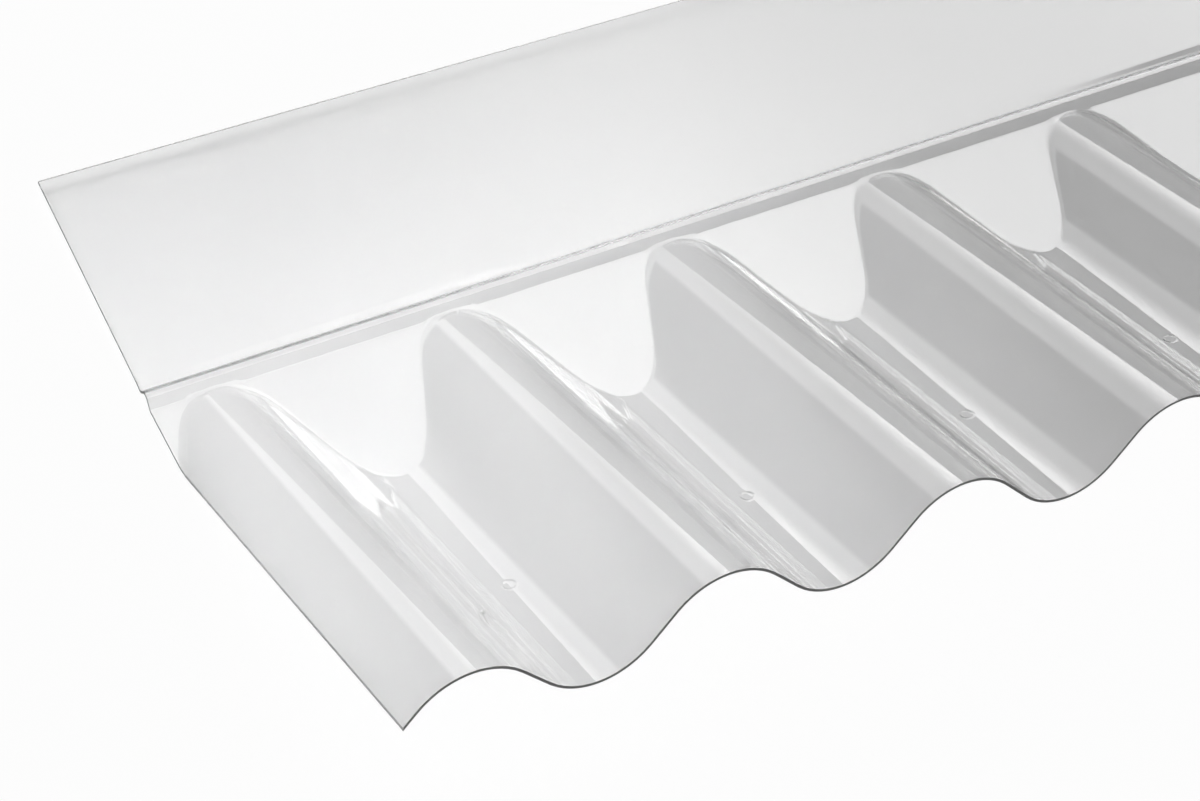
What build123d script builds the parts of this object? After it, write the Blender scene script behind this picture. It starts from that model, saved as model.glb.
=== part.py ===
"""Clear corrugated wall flashing: one thin formed sheet.

A flat upstand goes against the wall, a moulded hinge line lets it be bent to the
roof's slope, and a corrugated apron laps over the roof sheet. The corrugations run
out into the flat in a scalloped foot. The sheet lies on that flat, with the apron
rising towards the front (-Y).
"""

import os
from math import atan2, ceil, cos, radians, sin, tan

from build123d import *

# Driving dimensions, in millimetres and degrees
sheet_length = 950.0  # along the wall
sheet_thickness = 0.8
corrugation_pitch = 76.0
corrugation_depth = 19.0  # crest to trough, on one face
flank_angle = 43.0  # of the straight side of a corrugation
apron_length = 103.0  # along a trough, from the front edge to the flat
apron_angle = 25.0  # between the apron and the flat
foot_radius = 2.0  # round the scalloped foot, on the upper face
head_reach = 1.5  # how far a crest's head runs past the start of the strip
strip_width = 4.8  # the sloped strip, from the flat up to the ridge
ridge_height = 2.75  # above the flat, before rounding
ridge_width = 1.8  # from the ridge back down to the crease
ridge_radius = 0.9
crease_height = 0.25  # above the flat
crease_radius = 1.0
shoulder_width = 2.6  # from the crease to the upstand
shoulder_height = 0.95  # above the flat
shoulder_radius = 3.0
upstand_width = 68.6
upstand_angle = 4.4  # between the upstand and the flat

# Room for the forming blocks, which are cut away
block_depth = 20.0
overrun = 5.0
tolerance = 0.01  # for picking edges by their place

# Sizes that follow
half_thickness = sheet_thickness / 2
flank_tilt = radians(flank_angle)
apron_tilt = radians(apron_angle)
upstand_tilt = radians(upstand_angle)
half_pitch = corrugation_pitch / 2
apex_height = half_pitch * tan(flank_tilt)
wave_radius = (apex_height - corrugation_depth) / (2 / cos(flank_tilt) - 2)
half_waves = ceil(sheet_length / corrugation_pitch) + 1  # from the middle to a block's end
block_length = 2 * half_waves * half_pitch
crest_head = corrugation_depth / sin(apron_tilt)
strip_start = crest_head - head_reach
ridge = strip_start + strip_width
crease = ridge + ridge_width
shoulder = crease + shoulder_width
upstand_edge = shoulder + upstand_width * cos(upstand_tilt)
upstand_top = shoulder_height + upstand_width * sin(upstand_tilt)
front_edge = -apron_length * cos(apron_tilt) - half_thickness * sin(apron_tilt)
foot_line = -(front_edge + upstand_edge) / 2  # centres the sheet on the origin

section_plane = Plane(origin=(0, foot_line, half_thickness), x_dir=(0, 1, 0), z_dir=(1, 0, 0))
apron_plane = Plane(
    origin=(0, foot_line, half_thickness),
    x_dir=(1, 0, 0),
    z_dir=(0, -cos(apron_tilt), sin(apron_tilt)),
)

# Middle of the sheet through the strip, ridge, crease, shoulder and upstand
back_points = [
    (strip_start, 0),
    (ridge, ridge_height),
    (crease, crease_height),
    (shoulder, shoulder_height),
    (upstand_edge, upstand_top),
]
back_radii = [ridge_radius, crease_radius, shoulder_radius]

# Middle of the sheet across the corrugations, straight flanks meeting at an apex
wave_points = []
for step in range(-half_waves - 1, half_waves + 2):
    side = 1 if step % 2 == 0 else -1
    wave_points.append((step * half_pitch, corrugation_depth / 2 + side * apex_height / 2))
wave_radii = [wave_radius] * (len(wave_points) - 2)


def shifted(points, radii, level):
    """A path moved sideways by level, with its bends kept concentric."""
    angles = [atan2(b[1] - a[1], b[0] - a[0]) for a, b in zip(points, points[1:])]
    moved = []
    for point, before, after in zip(points, angles[:1] + angles, angles + angles[-1:]):
        mitre = level / cos((after - before) / 2)
        middle = (before + after) / 2
        moved.append((point[0] - mitre * sin(middle), point[1] + mitre * cos(middle)))
    bends = []
    for radius, before, after in zip(radii, angles, angles[1:]):
        bends.append(radius - level if after > before else radius + level)
    return moved, bends


def forming_block(level, reach, radius):
    """The solid below one face of the sheet, that face being level above its middle."""
    floor = -block_depth - reach
    back_end = upstand_edge + reach
    back_path, back_bends = shifted(back_points, back_radii, level)
    strip_angle = atan2(ridge_height, strip_width)
    back_path[0] = (strip_start - level * tan(strip_angle / 2), level)
    back_path[-1] = (back_end, upstand_top + reach * tan(upstand_tilt) + level / cos(upstand_tilt))
    wave_path, wave_bends = shifted(wave_points, wave_radii, level)
    run_out = corrugation_depth / tan(apron_tilt) + overrun + reach

    with BuildPart() as block:
        with BuildSketch(section_plane):
            with BuildLine():
                Polyline((-overrun, floor), (-overrun, level), (back_end, level), (back_end, floor), close=True)
            make_face()
        extrude(amount=block_length, both=True)

        with BuildSketch(apron_plane.offset(-run_out)):
            with BuildLine():
                wave_line = FilletPolyline(*wave_path, radius=wave_bends)
                Polyline(wave_line @ 1, (block_length, floor), (-block_length, floor), wave_line @ 0)
            make_face()
        extrude(amount=run_out + apron_length + reach)
        Box(block_length, 4 * upstand_edge, 4 * upstand_edge, mode=Mode.INTERSECT)

        # Round the scalloped foot, where the corrugations run out into the flat
        flat_level = half_thickness + level
        on_flat = block.edges().filter_by_position(Axis.Z, flat_level - tolerance, flat_level + tolerance)
        ahead = on_flat.filter_by_position(Axis.Y, foot_line - overrun, foot_line + crest_head + tolerance)
        end = block_length / 2 - tolerance
        fillet(ahead.filter_by_position(Axis.X, -end, end), radius)

        # Strip, ridge, crease, shoulder and upstand, over the flat and the crests' heads
        with BuildSketch(section_plane):
            with BuildLine():
                back_line = FilletPolyline(*back_path, radius=back_bends)
                Polyline(back_line @ 1, (back_end, floor), (strip_start, floor), back_line @ 0)
            make_face()
        extrude(amount=block_length / 2, both=True)
    return block.part


upper = forming_block(half_thickness, 0, foot_radius)
lower = forming_block(-half_thickness, overrun, foot_radius + sheet_thickness)

with BuildPart() as wall_flashing:
    add(upper)
    add(lower, mode=Mode.SUBTRACT)
    Box(sheet_length, 4 * upstand_edge, 4 * upstand_edge, mode=Mode.INTERSECT)

wall_flashing.part.label = "wall_flashing"

os.makedirs("parts", exist_ok=True)
export_step(wall_flashing.part, "parts/wall_flashing.step")
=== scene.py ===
import math

import bpy
import numpy as np
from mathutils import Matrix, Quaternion, Vector


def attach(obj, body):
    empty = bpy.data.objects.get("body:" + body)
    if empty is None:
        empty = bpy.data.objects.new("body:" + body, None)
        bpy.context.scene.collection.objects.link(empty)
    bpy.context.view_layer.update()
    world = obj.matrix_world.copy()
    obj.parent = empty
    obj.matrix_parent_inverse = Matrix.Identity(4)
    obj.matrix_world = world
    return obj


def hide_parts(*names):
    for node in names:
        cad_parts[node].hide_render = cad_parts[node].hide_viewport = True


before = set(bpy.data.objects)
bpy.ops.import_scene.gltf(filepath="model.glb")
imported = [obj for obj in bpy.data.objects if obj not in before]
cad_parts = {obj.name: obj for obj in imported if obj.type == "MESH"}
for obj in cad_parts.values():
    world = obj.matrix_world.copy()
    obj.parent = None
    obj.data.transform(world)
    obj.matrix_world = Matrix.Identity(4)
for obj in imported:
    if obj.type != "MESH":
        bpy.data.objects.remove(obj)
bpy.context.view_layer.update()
print("stage: frame loaded")

# The formed sheet, in metres and radians, in the same frame as the CAD part
sheet = {
    "length": 0.950,  # along the wall
    "thickness": 0.0008,
    "pitch": 0.076,
    "depth": 0.019,  # of a corrugation, crest to trough on one face
    "flank": math.radians(43.0),  # of a corrugation's straight side
    "apron": 0.103,  # along a trough, from the front edge to the flat
    "tilt": math.radians(25.0),  # between the apron and the flat
    "footRadius": 0.0018,  # where a trough runs out into the flat
    "headRadius": 0.0055,  # where a crest ends
    "headPower": 3,  # how late the foot's radius grows on its way up to the crest
    "headReach": 0.0015,  # of a crest's head past the start of the strip
    "beadHeight": 0.00004,  # of the faint bead along the foot
    "beadWidth": 0.8,  # as a share of the foot's rounding
    "strip": (0.0031, 0.0024),  # run and rise, from the flat up to the ridge
    "ridgeTop": (0.0018, 0.0001),
    "ridgeBack": (0.0017, -0.00225),  # down to the crease
    "shoulder": (0.0026, 0.0007),
    "upstand": 0.0686,
    "lean": math.radians(4.4),  # between the upstand and the flat
    "radii": [0.0012, 0.0008, 0.0007, 0.0010, 0.0030],  # of the five bends, from the strip to the upstand
}

# How finely the sheet is divided, by columns along the wall and rows from the front edge to the back
grid = {
    "columns": 477,
    "apronRows": 8,
    "footRows": 11,
    "flatRows": [0.15, 0.40, 0.65, 0.90],  # as shares of the flat's width
    "stripBendRows": 9,
    "stripRows": 3,
    "ridgeRows": 35,
    "shoulderRows": 3,
    "upstandRows": 7,
    "bendRoom": 0.0011,  # on each side of the strip's first bend
    "ridgeRoom": 0.0005,  # before the ridge and past the shoulder
    "shoulderRoom": 0.0023,  # past the shoulder, to the end of its bend
    "upstandRoom": 0.0073,  # past the shoulder, to the upstand's wide rows
    "bandGap": 0.0004,  # between one band of rows and the next
    "leastStep": 0.00001,  # between rows, where the foot comes near the strip
    "arcPoints": 13,
    "halvings": 40,
    "sharpAngle": math.radians(60),
}
half = sheet["thickness"] / 2
cosTilt, sinTilt, tanTilt = math.cos(sheet["tilt"]), math.sin(sheet["tilt"]), math.tan(sheet["tilt"])

# Bends of the back section, in run and rise from the foot line, on the middle of the sheet
firstBend = (sheet["depth"] / sinTilt - sheet["headReach"], 0.0)
upstandRun = (sheet["upstand"] * math.cos(sheet["lean"]), sheet["upstand"] * math.sin(sheet["lean"]))
steps = [firstBend, sheet["strip"], sheet["ridgeTop"], sheet["ridgeBack"], sheet["shoulder"], upstandRun]
bends = np.cumsum(steps, axis=0)
stripStart, ridgeStart, ridgeEnd = bends[:3, 0]
shoulder, backEdge = bends[-2:, 0]
frontEdge = -sheet["apron"] * cosTilt - half * sinTilt
footLine = -(frontEdge + backEdge) / 2


# Height of one face across the corrugations, moved out by level:
# arcs on crest and trough, straight flanks between them
def wave(x, level):
    slope, depth, span = sheet["flank"], sheet["depth"], sheet["pitch"] / 2
    radius = (span * math.tan(slope) - depth) / (2 / math.cos(slope) - 2)
    fromCrest = np.abs((x + span) % (2 * span) - span)
    fromTrough = span - fromCrest
    outer, inner = radius + level, radius - level
    crest = depth - radius + np.sqrt(np.maximum(outer ** 2 - fromCrest ** 2, 0))
    trough = radius - np.sqrt(np.maximum(inner ** 2 - fromTrough ** 2, 0))
    straight = depth / 2 + (span / 2 - fromCrest) * math.tan(slope) + level / math.cos(slope)
    nearCrest = fromCrest < outer * math.sin(slope)
    nearTrough = fromTrough < inner * math.sin(slope)
    return np.where(nearCrest, crest, np.where(nearTrough, trough, straight))


# Section through flat, strip, ridge, crease, shoulder and upstand, moved out by level:
# straight runs joined by arcs, each arc swept from one run's bearing to the next
def backSection(level):
    points = np.concatenate([[(frontEdge, 0.0)], bends])
    runs = np.diff(points, axis=0)
    bearings = np.arctan2(runs[:, 1], runs[:, 0])
    turns = np.diff(bearings)
    radii = np.array(sheet["radii"])
    signed = np.sign(turns) * radii
    reach = radii * np.tan(np.abs(turns) / 2)
    along = np.stack([np.cos(bearings), np.sin(bearings)], 1)
    normal = np.stack([-along[:, 1], along[:, 0]], 1)
    centre = points[1:-1] - along[:-1] * reach[:, None] + normal[:-1] * signed[:, None]
    swept = bearings[:-1, None] + turns[:, None] * np.linspace(0, 1, grid["arcPoints"])
    outward = np.stack([-np.sin(swept), np.cos(swept)], 2)
    arcs = centre[:, None] - outward * signed[:, None, None] + outward * level
    first, last = points[:1] + normal[:1] * level, points[-1:] + normal[-1:] * level
    return np.concatenate([first, arcs.reshape(-1, 2), last])


# Rows over the back section, closest round its bends
def backRows():
    bendRoom, ridgeRoom, gap = grid["bendRoom"], grid["ridgeRoom"], grid["bandGap"]
    return np.concatenate([
        np.linspace(stripStart - bendRoom, stripStart + bendRoom, grid["stripBendRows"]),
        np.linspace(stripStart + bendRoom + gap, ridgeStart - ridgeRoom - gap, grid["stripRows"]),
        np.linspace(ridgeStart - ridgeRoom, shoulder + ridgeRoom, grid["ridgeRows"]),
        np.linspace(shoulder + ridgeRoom + gap, shoulder + grid["shoulderRoom"], grid["shoulderRows"]),
        np.linspace(shoulder + grid["upstandRoom"], backEdge, grid["upstandRows"]),
    ])


# One face: the higher of the tilted wave and the back section,
# rounded where they meet by a parabola in the difference of their heights
def face(level):
    x = np.linspace(-sheet["length"] / 2, sheet["length"] / 2, grid["columns"])
    section = backSection(level)
    height = wave(x, level)

    # Height of the back section at y, read off its points
    def backHeight(y):
        return np.interp(y, section[:, 0], section[:, 1])

    # Height of the tilted wave at y, falling towards the back
    def apronHeight(y):
        return height / cosTilt - y * tanTilt

    # Where the two meet, by halving
    low, high = np.full_like(x, frontEdge), np.full_like(x, (ridgeStart + ridgeEnd) / 2)
    for halving in range(grid["halvings"]):
        middle = (low + high) / 2
        above = apronHeight(middle) > backHeight(middle)
        low, high = np.where(above, middle, low), np.where(above, high, middle)
    meet = (low + high) / 2

    # How far the rounding reaches, from its radius and the angle between the two
    turn = np.arctan(np.hypot(np.gradient(height, x) / cosTilt, tanTilt))
    upHead = np.clip(height / sheet["depth"], 0, 1) ** sheet["headPower"]
    radius = sheet["footRadius"] * (1 - upHead) + sheet["headRadius"] * upHead
    soft = radius * np.tan(turn / 2) * np.tan(turn)
    reach = soft / tanTilt

    # Rows along the apron, across the foot, over the flat and over the back section
    front = -sheet["apron"] * cosTilt + height * sinTilt
    foot = meet + reach
    onApron = front + (meet - reach - front) * np.linspace(0, 1, grid["apronRows"] + 1)[:-1, None]
    acrossFoot = meet + reach * np.linspace(-1, 1, grid["footRows"])[:, None]
    lines = backRows()
    onFlat = foot + (lines[0] - foot) * np.array(grid["flatRows"])[:, None]
    onBack = lines[:, None] + 0 * x
    order = np.arange(1, len(onFlat) + len(onBack) + 1)[:, None]
    beyond = np.maximum(np.concatenate([onFlat, onBack]), foot + grid["leastStep"] * order)
    y = np.concatenate([onApron, acrossFoot, beyond])

    apron, back = apronHeight(y), backHeight(y)
    closeness = np.maximum(1 - np.abs(apron - back) / soft, 0)
    fromMeet = (y - meet) / (sheet["beadWidth"] * reach)
    bead = sheet["beadHeight"] * np.maximum(1 - fromMeet ** 2, 0) ** 2
    z = np.maximum(apron, back) + soft / 4 * closeness ** 2 + bead
    return np.stack([np.broadcast_to(x, y.shape), y + footLine, z + half], 2)


# Four-cornered faces between neighbouring rows and columns of point numbers
def cells(numbers):
    corners = [numbers[:-1, :-1], numbers[:-1, 1:], numbers[1:, 1:], numbers[1:, :-1]]
    return np.stack(corners, -1).reshape(-1, 4)


upper, lower = face(half), face(-half)
rows, columns = upper.shape[:2]
above = np.arange(rows * columns).reshape(rows, columns)
below = above + rows * columns
quads = np.concatenate([
    cells(above),
    cells(below)[:, ::-1],
    cells(np.stack([below[0], above[0]])),
    cells(np.stack([above[-1], below[-1]])),
    cells(np.stack([above[:, 0], below[:, 0]])),
    cells(np.stack([below[:, -1], above[:, -1]])),
])
points = np.concatenate([upper.reshape(-1, 3), lower.reshape(-1, 3)])
onCut = np.arange(len(quads)) >= 2 * (rows - 1) * (columns - 1)

mesh = bpy.data.meshes.new("formedSheet")
mesh.vertices.add(len(points))
mesh.vertices.foreach_set("co", points.astype(np.float32).ravel())
mesh.loops.add(quads.size)
mesh.loops.foreach_set("vertex_index", quads.astype(np.int32).ravel())
mesh.polygons.add(len(quads))
mesh.polygons.foreach_set("loop_start", np.arange(0, quads.size, 4, dtype=np.int32))
mesh.polygons.foreach_set("use_smooth", np.ones(len(quads), dtype=bool))
mesh.update(calc_edges=True)
mesh.validate()
mesh.set_sharp_from_angle(angle=grid["sharpAngle"])
formedSheet = bpy.data.objects.new("formedSheet", mesh)
bpy.context.scene.collection.objects.link(formedSheet)
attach(formedSheet, "root")
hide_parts("wall_flashing")
print("stage: sheet built with", len(quads) * 2, "triangles")

# Clear rigid PVC: faintly wavy, with a small moulded ring in each trough, and frosted where it was cut
pvc = {
    "colour": (0.97, 0.97, 0.97, 1.0),
    "index": 1.53,
    "roughness": 0.02,
    "clearness": 1.0,
    "cutColour": (0.5, 0.5, 0.5, 1.0),
    "cutRoughness": 0.45,
    "cutClearness": 0.6,
    "relief": 0.001,  # metres that a height of 1 stands for
    "waviness": 0.005,
    "waves": 90.0,  # in a metre along the wall
    "stretch": 0.06,  # how much slower they change along the corrugations
    "ringRadius": 0.0019,
    "ringWidth": 0.0006,
    "ringHeight": 0.065,
    "ringPlace": -0.0658,  # in Y
}


# A clear plastic with a given finish, on the sheet's next slot
def clearPlastic(name, colour, roughness, clearness):
    material = bpy.data.materials.new(name)
    material.use_nodes = True
    shader = material.node_tree.nodes["Principled BSDF"]
    shader.distribution = "GGX"
    shader.inputs["Base Color"].default_value = colour
    shader.inputs["Roughness"].default_value = roughness
    shader.inputs["IOR"].default_value = pvc["index"]
    shader.inputs["Transmission Weight"].default_value = clearness
    mesh.materials.append(material)
    return material.node_tree, shader


# A math node fed by links or numbers
def mathNode(tree, operation, *values):
    node = tree.nodes.new("ShaderNodeMath")
    node.operation = operation
    for place, value in enumerate(values):
        if isinstance(value, bpy.types.NodeSocket):
            tree.links.new(value, node.inputs[place])
        else:
            node.inputs[place].default_value = value
    return node.outputs[0]


# Height of the rings: full on a circle round each trough's mark, smoothly down to nothing at the ring's width
def ringHeight(tree, where):
    parts = tree.nodes.new("ShaderNodeSeparateXYZ")
    tree.links.new(where, parts.inputs[0])
    wrapped = mathNode(tree, "WRAP", parts.outputs["X"], sheet["pitch"], 0.0)
    across = mathNode(tree, "SUBTRACT", wrapped, sheet["pitch"] / 2)
    level = mathNode(tree, "SUBTRACT", parts.outputs["Y"], pvc["ringPlace"])
    along = mathNode(tree, "DIVIDE", level, cosTilt)
    acrossSquare = mathNode(tree, "MULTIPLY", across, across)
    alongSquare = mathNode(tree, "MULTIPLY", along, along)
    distance = mathNode(tree, "SQRT", mathNode(tree, "ADD", acrossSquare, alongSquare))
    offRing = mathNode(tree, "ABSOLUTE", mathNode(tree, "SUBTRACT", distance, pvc["ringRadius"]))
    ring = tree.nodes.new("ShaderNodeMapRange")
    ring.interpolation_type = "SMOOTHSTEP"
    ring.inputs["From Max"].default_value = pvc["ringWidth"]
    ring.inputs["To Min"].default_value = pvc["ringHeight"]
    ring.inputs["To Max"].default_value = 0.0
    tree.links.new(offRing, ring.inputs["Value"])
    return ring.outputs["Result"]


# Faint waves: smooth noise drawn out along the corrugations
def faintWaves(tree, where):
    stretch = tree.nodes.new("ShaderNodeMapping")
    stretch.inputs["Scale"].default_value = (1.0, pvc["stretch"], pvc["stretch"])
    tree.links.new(where, stretch.inputs["Vector"])
    noise = tree.nodes.new("ShaderNodeTexNoise")
    noise.inputs["Scale"].default_value = pvc["waves"]
    noise.inputs["Detail"].default_value = 0.0
    tree.links.new(stretch.outputs["Vector"], noise.inputs["Vector"])
    return noise.outputs["Fac"]


clearTree, clearShader = clearPlastic("clearPvc", pvc["colour"], pvc["roughness"], pvc["clearness"])
where = clearTree.nodes.new("ShaderNodeTexCoord").outputs["Object"]
rings, waves = ringHeight(clearTree, where), faintWaves(clearTree, where)
bump = clearTree.nodes.new("ShaderNodeBump")
bump.inputs["Strength"].default_value = 1.0
bump.inputs["Distance"].default_value = pvc["relief"]
clearTree.links.new(mathNode(clearTree, "MULTIPLY_ADD", waves, pvc["waviness"], rings), bump.inputs["Height"])
clearTree.links.new(bump.outputs["Normal"], clearShader.inputs["Normal"])
clearPlastic("cutEdge", pvc["cutColour"], pvc["cutRoughness"], pvc["cutClearness"])
mesh.polygons.foreach_set("material_index", onCut.astype(np.int32))
print("stage: materials made")

# Floor and room, as brightness where 1 is white
studio = {
    "floorSize": 60.0,
    "floorDrop": 0.0002,  # below the sheet
    "floor": (0.9, 0.9, 0.9, 1.0),
    "toCamera": 0.97,  # share of plain white in the floor, the rest being the lit floor with its shadow
    "through": 0.05,  # the same share seen in or through the sheet
    "white": (1.0, 1.0, 1.0, 1.0),
    "world": 0.31,
    "inGloss": 0.8,  # the room as mirrored in the sheet
}


# A flat square for the stage, at a given height
def plane(name, size, height):
    made = bpy.data.meshes.new(name)
    edge = size / 2
    corners = [(-edge, -edge, height), (edge, -edge, height), (edge, edge, height), (-edge, edge, height)]
    made.from_pydata(corners, [], [(0, 1, 2, 3)])
    thing = bpy.data.objects.new(name, made)
    bpy.context.scene.collection.objects.link(thing)
    return thing


# Pale floor: nearly white to the camera, and mostly the lit floor where it shows in or through the sheet
floor = plane("floor", studio["floorSize"], -studio["floorDrop"])
floorPaint = bpy.data.materials.new("floorPaint")
floorPaint.use_nodes = True
paintTree = floorPaint.node_tree
paintTree.nodes.clear()
output = paintTree.nodes.new("ShaderNodeOutputMaterial")
mix = paintTree.nodes.new("ShaderNodeMixShader")
matt = paintTree.nodes.new("ShaderNodeBsdfDiffuse")
glow = paintTree.nodes.new("ShaderNodeEmission")
rays = paintTree.nodes.new("ShaderNodeLightPath")
matt.inputs["Color"].default_value = studio["floor"]
glow.inputs["Strength"].default_value = 1.0
inSheet = mathNode(paintTree, "MAXIMUM", rays.outputs["Is Transmission Ray"], rays.outputs["Is Glossy Ray"])
through = mathNode(paintTree, "MULTIPLY", inSheet, studio["through"])
whiteShare = mathNode(paintTree, "MULTIPLY_ADD", rays.outputs["Is Camera Ray"], studio["toCamera"], through)
paintTree.links.new(whiteShare, mix.inputs["Fac"])
paintTree.links.new(matt.outputs[0], mix.inputs[1])
paintTree.links.new(glow.outputs[0], mix.inputs[2])
paintTree.links.new(mix.outputs[0], output.inputs["Surface"])
floor.data.materials.append(floorPaint)

# White room to the camera, a little less in the sheet's gloss, and dim as a light
world = bpy.data.worlds.new("studio")
bpy.context.scene.world = world
world.use_nodes = True
sky = world.node_tree
seen = sky.nodes.new("ShaderNodeLightPath")
glossy, passing = seen.outputs["Is Glossy Ray"], seen.outputs["Is Transmission Ray"]
inGloss = mathNode(sky, "MULTIPLY", mathNode(sky, "GREATER_THAN", glossy, passing), studio["inGloss"])
inView = mathNode(sky, "MAXIMUM", seen.outputs["Is Camera Ray"], inGloss)
background = sky.nodes["Background"]
background.inputs["Color"].default_value = studio["white"]
sky.links.new(mathNode(sky, "MAXIMUM", inView, studio["world"]), background.inputs["Strength"])

# A small key lamp for the floor, and a big soft box that shows in the sheet's gloss
keyLamp = {
    "place": (-0.45, -0.01, 0.44),
    "aim": (-0.45, -0.01, 0.0),
    "roll": 0.0,
    "width": 0.2,
    "depth": 0.2,
    "brightness": 2.7,
    "spread": math.radians(66),
    "pastEdge": 0.62,  # share of its light on the bare floor that shows through the sheet
    "sheetFaces": 2.0,  # that light crosses on its way through the sheet
}
softLamp = {
    "place": (0.0975, 0.0410, 0.8152),
    "aim": (0.3595, -0.4590, 0.0232),
    "roll": 148.5,
    "width": 1.245,
    "depth": 1.81,
    "brightness": 4.0,
    "fade": [  # brightness at shares of its width, rising towards the far end
        (0.053, 0.55), (0.213, 0.45), (0.285, 0.68), (0.365, 1.05),
        (0.445, 1.37), (0.676, 1.55), (0.884, 1.60),
    ],
}


# Put a lamp or camera at its place, facing its aim and rolled about that line
def aimed(thing, values):
    place = Vector(values["place"])
    facing = (place - Vector(values["aim"])).to_track_quat("Z", "Y")
    thing.rotation_euler = (facing @ Quaternion((0, 0, 1), math.radians(values["roll"]))).to_euler()
    thing.location = place
    bpy.context.scene.collection.objects.link(thing)


# A rectangular lamp with a given brightness per area, and its nodes
def lamp(name, values):
    light = bpy.data.lights.new(name, "AREA")
    light.shape = "RECTANGLE"
    light.size, light.size_y = values["width"], values["depth"]
    light.energy = values["brightness"] * math.pi * values["width"] * values["depth"]
    light.use_nodes = True
    thing = bpy.data.objects.new(name, light)
    thing.visible_camera = False
    aimed(thing, values)
    return thing, light.node_tree


# The key lamp lights the floor and leaves no image in the sheet: it shines where light has left the floor,
# and on what lies behind both faces of the sheet with no mirroring on the way
keyBox, bulb = lamp("keyBox", keyLamp)
keyBox.data.spread = keyLamp["spread"]
keyBox.visible_glossy = False
path = bulb.nodes.new("ShaderNodeLightPath")
mirrored, crossed = path.outputs["Glossy Depth"], path.outputs["Transmission Depth"]
unmirrored = mathNode(bulb, "MULTIPLY_ADD", mirrored, -keyLamp["sheetFaces"], crossed)
behindSheet = mathNode(bulb, "GREATER_THAN", unmirrored, keyLamp["sheetFaces"] - 0.5)
pastEdge = mathNode(bulb, "MULTIPLY", behindSheet, keyLamp["pastEdge"])
offFloor = mathNode(bulb, "MINIMUM", path.outputs["Diffuse Depth"], 1.0)
bulb.links.new(mathNode(bulb, "MAXIMUM", pastEdge, offFloor), bulb.nodes["Emission"].inputs["Strength"])

# The soft box has black ends and the fade's brightness across its width
softBox, cloth = lamp("softBox", softLamp)
softBox.visible_diffuse = softBox.visible_transmission = False
spot = cloth.nodes.new("ShaderNodeNewGeometry")
axes = cloth.nodes.new("ShaderNodeSeparateXYZ")
fade = cloth.nodes.new("ShaderNodeValToRGB")
cloth.links.new(spot.outputs["Parametric"], axes.inputs[0])
cloth.links.new(axes.outputs["X"], fade.inputs["Fac"])
cloth.links.new(fade.outputs["Color"], cloth.nodes["Emission"].inputs["Strength"])
for end in fade.color_ramp.elements:
    end.color = (0.0, 0.0, 0.0, 1.0)
for place, amount in softLamp["fade"]:
    fade.color_ramp.elements.new(place).color = (amount, amount, amount, 1.0)
print("stage: floor and lamps set")

# Camera fitted to the photo's edges
shot = {
    "place": (-0.7367, -0.3460, 0.7040),
    "aim": (-0.3634, -0.0212, 0.0200),
    "roll": 23.84,
    "lens": 90.8,
    "sensor": 36.0,
    "clip": (0.05, 50.0),
}
lens = bpy.data.cameras.new("photoCamera")
lens.sensor_width = shot["sensor"]
lens.lens = shot["lens"]
lens.clip_start, lens.clip_end = shot["clip"]
camera = bpy.data.objects.new("photoCamera", lens)
aimed(camera, shot)
bpy.context.scene.camera = camera
bpy.context.scene.view_settings.view_transform = "Standard"
